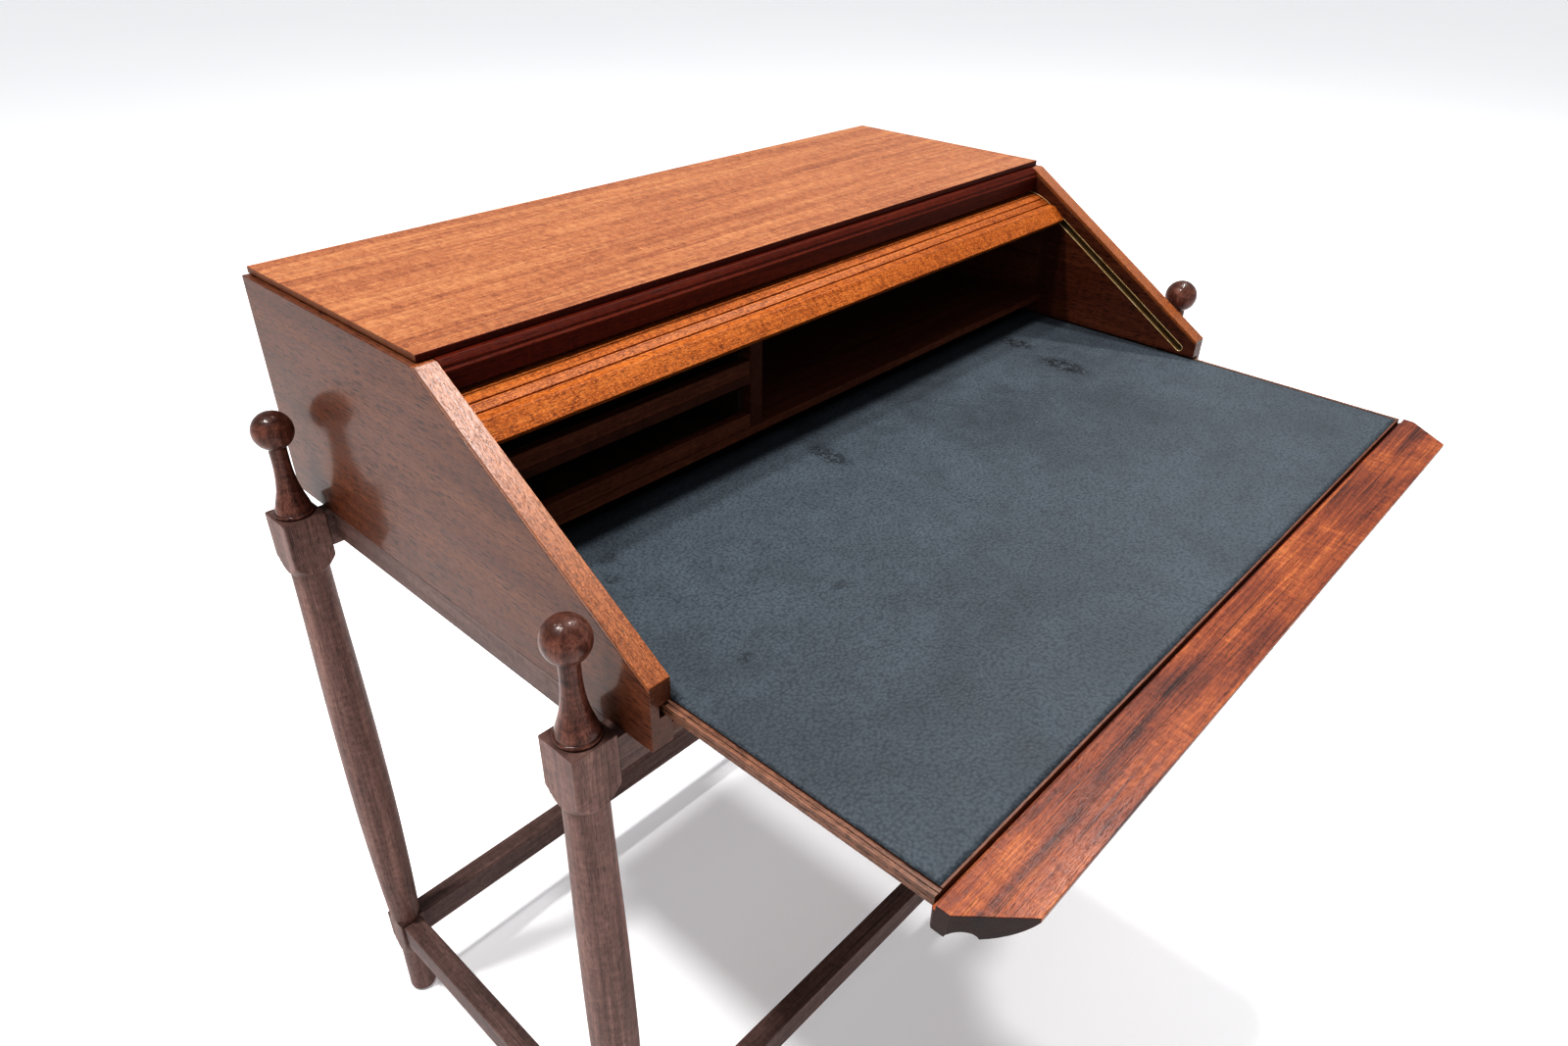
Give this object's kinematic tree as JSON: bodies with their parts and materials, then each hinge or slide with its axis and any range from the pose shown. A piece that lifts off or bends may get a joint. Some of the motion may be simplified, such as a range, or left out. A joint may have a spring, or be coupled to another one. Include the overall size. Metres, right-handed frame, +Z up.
{
  "type": "roll-top secretary desk",
  "caption": "Secretary desk on a turned frame with finial posts, a slatted roll-top, a pull-out leather writing board and a row of pigeon holes with low drawers.",
  "frame": {"origin": "floor level under the middle of the desk's overall footprint, with the writing board pulled out", "axes": "+X is the sitter's right, +Y points to the back of the desk, +Z is up"},
  "size_m": [0.9582, 0.804, 0.93],
  "materials": {
    "frame_wood": "satin",
    "case_wood": "satin",
    "lipping_wood": "satin",
    "roll_top_wood": "satin",
    "pull_wood": "satin",
    "inner_wood": "satin",
    "drawer_lining": "matte",
    "leather": "fine grain",
    "canvas": "woven",
    "brass": "worn"
  },
  "bodies": {
    "stand": {"leg_front_left": "frame_wood", "leg_front_right": "frame_wood", "leg_back_left": "frame_wood", "leg_back_right": "frame_wood", "rail_front": "frame_wood", "rail_back": "frame_wood", "rail_left": "frame_wood", "rail_right": "frame_wood", "stretcher_front": "frame_wood", "stretcher_back": "frame_wood", "stretcher_left": "frame_wood", "stretcher_right": "frame_wood", "side_panel_left": "case_wood", "side_panel_right": "case_wood", "lipping_left": "lipping_wood", "lipping_right": "lipping_wood", "brass_track_left": "brass", "brass_track_right": "brass", "top_board": "case_wood", "top_panel": "case_wood", "top_rail": "inner_wood", "back_panel": "case_wood", "floor_panel": "case_wood", "roll_top_slats_stored": "roll_top_wood", "canvas_stored": "canvas", "unit_shelf": "inner_wood", "unit_lid": "inner_wood", "unit_end_left": "inner_wood", "unit_end_right": "inner_wood", "unit_back": "inner_wood", "unit_divider": "inner_wood", "unit_mid_shelf": "inner_wood"},
    "roll_top": {"roll_top_bar": "roll_top_wood", "roll_top_slat_1": "roll_top_wood", "canvas_front": "canvas"},
    "writing_slide": {"writing_board": "case_wood", "writing_edge_left": "case_wood", "writing_edge_right": "case_wood", "writing_leather": "leather", "pull_rail": "pull_wood"},
    "drawer_lower": {"drawer_lower_front": "inner_wood", "drawer_lower_side_left": "drawer_lining", "drawer_lower_side_right": "drawer_lining", "drawer_lower_back": "drawer_lining", "drawer_lower_floor": "drawer_lining"},
    "drawer_upper": {"drawer_upper_front": "inner_wood", "drawer_upper_side_left": "drawer_lining", "drawer_upper_side_right": "drawer_lining", "drawer_upper_back": "drawer_lining", "drawer_upper_floor": "drawer_lining"}
  },
  "joints": [
    {"name": "writing_slide", "type": "slide", "parent": "stand", "child": "writing_slide", "axis": [0, 1, 0], "range_m": [0, 0.219]},
    {"name": "roll_top_slide", "type": "slide", "parent": "stand", "child": "roll_top", "axis": [0, -0.8434, -0.5373], "range_m": [0, 0.219]},
    {"name": "drawer_lower_slide", "type": "slide", "parent": "stand", "child": "drawer_lower", "axis": [0, -1, 0], "range_m": [0, 0.1]},
    {"name": "drawer_upper_slide", "type": "slide", "parent": "stand", "child": "drawer_upper", "axis": [0, -1, 0], "range_m": [0, 0.04]}
  ],
  "couplings": [
    {"joint": "roll_top_slide", "follows": "writing_slide", "ratio": 1}
  ]
}
